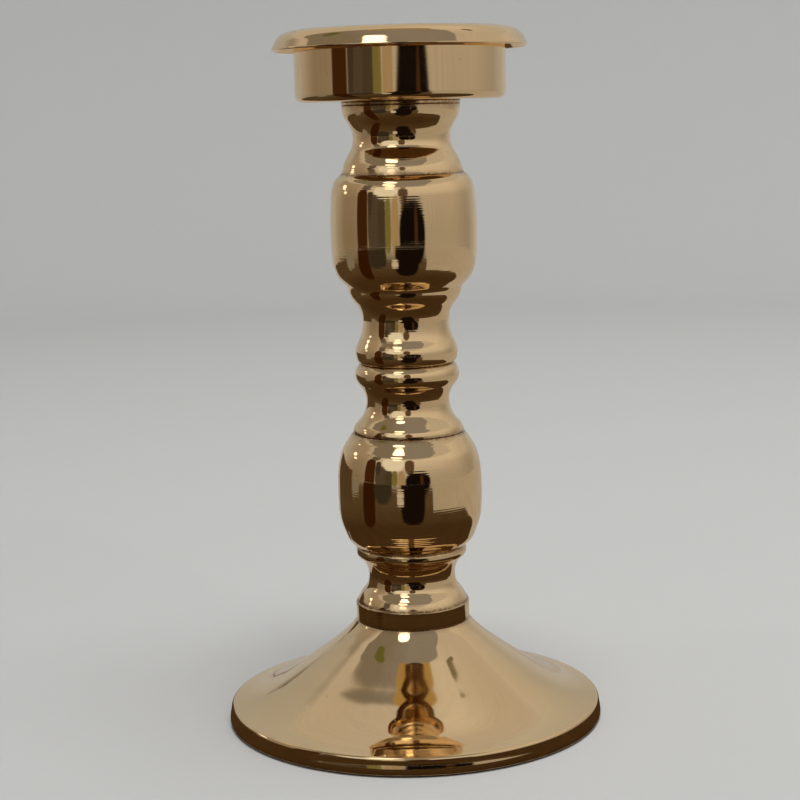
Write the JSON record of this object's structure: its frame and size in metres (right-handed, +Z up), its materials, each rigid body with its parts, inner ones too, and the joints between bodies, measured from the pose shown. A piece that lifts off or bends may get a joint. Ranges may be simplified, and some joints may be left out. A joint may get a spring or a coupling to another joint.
{
  "type": "pillar candle holder",
  "caption": "Tall turned candle holder: trumpet foot, baluster stem on a hidden tie rod, flat cup and a loose lift-off candle pan with a down-turned lip.",
  "frame": {"origin": "on the table, at the centre of the foot's felt ring", "axes": "+Z up along the tie rod and the stem; the turned pieces look the same from every side, so +X and +Y are only the nuts' corner and flat directions"},
  "size_m": [0.12, 0.12, 0.2183],
  "materials": {
    "gold": "mirror polished pale gold plate",
    "turned_brass": "as turned, unplated",
    "steel": "zinc plated",
    "felt": "dark felt"
  },
  "bodies": {
    "holder": {"foot_felt": "felt", "foot": "gold", "lower_stem": "gold", "middle_spool": "gold", "upper_stem": "gold", "cup_disc": "gold", "cup": "gold", "foot_centring_ring": "turned_brass", "seam_centring_ring": "turned_brass", "groove_centring_ring": "turned_brass", "neck_centring_ring": "turned_brass", "tie_rod": "steel", "foot_washer": "steel", "foot_spring_washer": "steel", "foot_nut": "steel", "cup_washer": "steel", "cup_nut": "steel"},
    "candle_pan": {"candle_pan": "gold"}
  },
  "joints": [
    {"name": "pan_lift", "type": "slide", "parent": "holder", "child": "candle_pan", "axis": [0, 0, 1], "range_m": [0, 0.045]}
  ]
}
